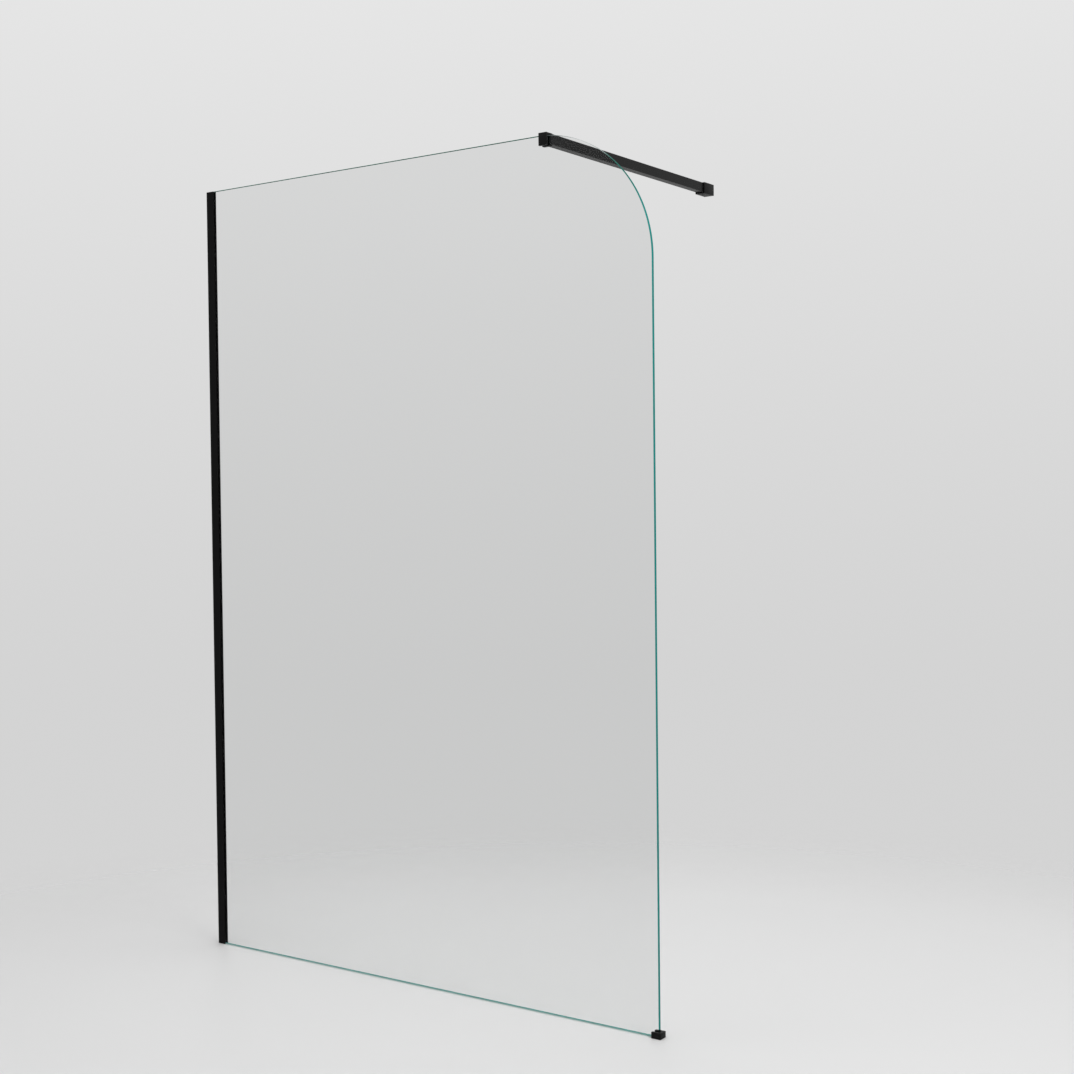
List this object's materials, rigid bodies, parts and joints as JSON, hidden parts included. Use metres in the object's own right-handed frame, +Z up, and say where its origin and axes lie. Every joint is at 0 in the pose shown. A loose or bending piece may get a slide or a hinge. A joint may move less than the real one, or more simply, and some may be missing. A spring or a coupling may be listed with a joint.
{
  "type": "walk-in shower screen",
  "caption": "Fixed clear glass shower screen with a rounded top corner, a slim black wall channel, a square support bar to the wall behind and a small floor clamp.",
  "frame": {"origin": "on the left wall, at the middle of the glass's thickness, at floor level: the foot of the wall channel's back face", "axes": "+X along the glass from the wall channel to the free edge, +Y from the dry side through the glass to the wall behind, +Z up"},
  "size_m": [1.3735, 0.7765, 2.0056],
  "materials": {
    "clear_glass": "polished",
    "black_aluminium": "matte",
    "black_metal": "matte",
    "black_plastic": "matte",
    "black_rubber": "matte",
    "black_steel": "satin",
    "bright_steel": "satin",
    "white_nylon": "matte"
  },
  "bodies": {
    "root": {"glass_panel": "clear_glass", "wall_channel": "black_aluminium", "front_glazing_strip": "black_rubber", "rear_glazing_strip": "black_rubber", "channel_top_plug": "black_plastic", "glass_edge_packers": "white_nylon", "glass_setting_block": "white_nylon", "support_bar": "black_metal", "bar_end_plug": "white_nylon", "bar_lock_screw": "black_steel", "wall_bracket": "black_metal", "wall_bracket_grub_screw": "black_steel", "glass_clamp_body": "black_metal", "glass_clamp_front_pad": "black_rubber", "glass_clamp_rear_pad": "black_rubber", "glass_clamp_bridge_pad": "black_rubber", "glass_clamp_pressure_plate": "bright_steel", "glass_clamp_grub_screw": "black_steel", "floor_clamp_body": "black_metal", "floor_clamp_liner": "black_rubber", "floor_clamp_pressure_plate": "bright_steel", "floor_clamp_grub_screw": "black_steel", "floor_clamp_adhesive_pad": "black_rubber"}
  },
  "joints": []
}
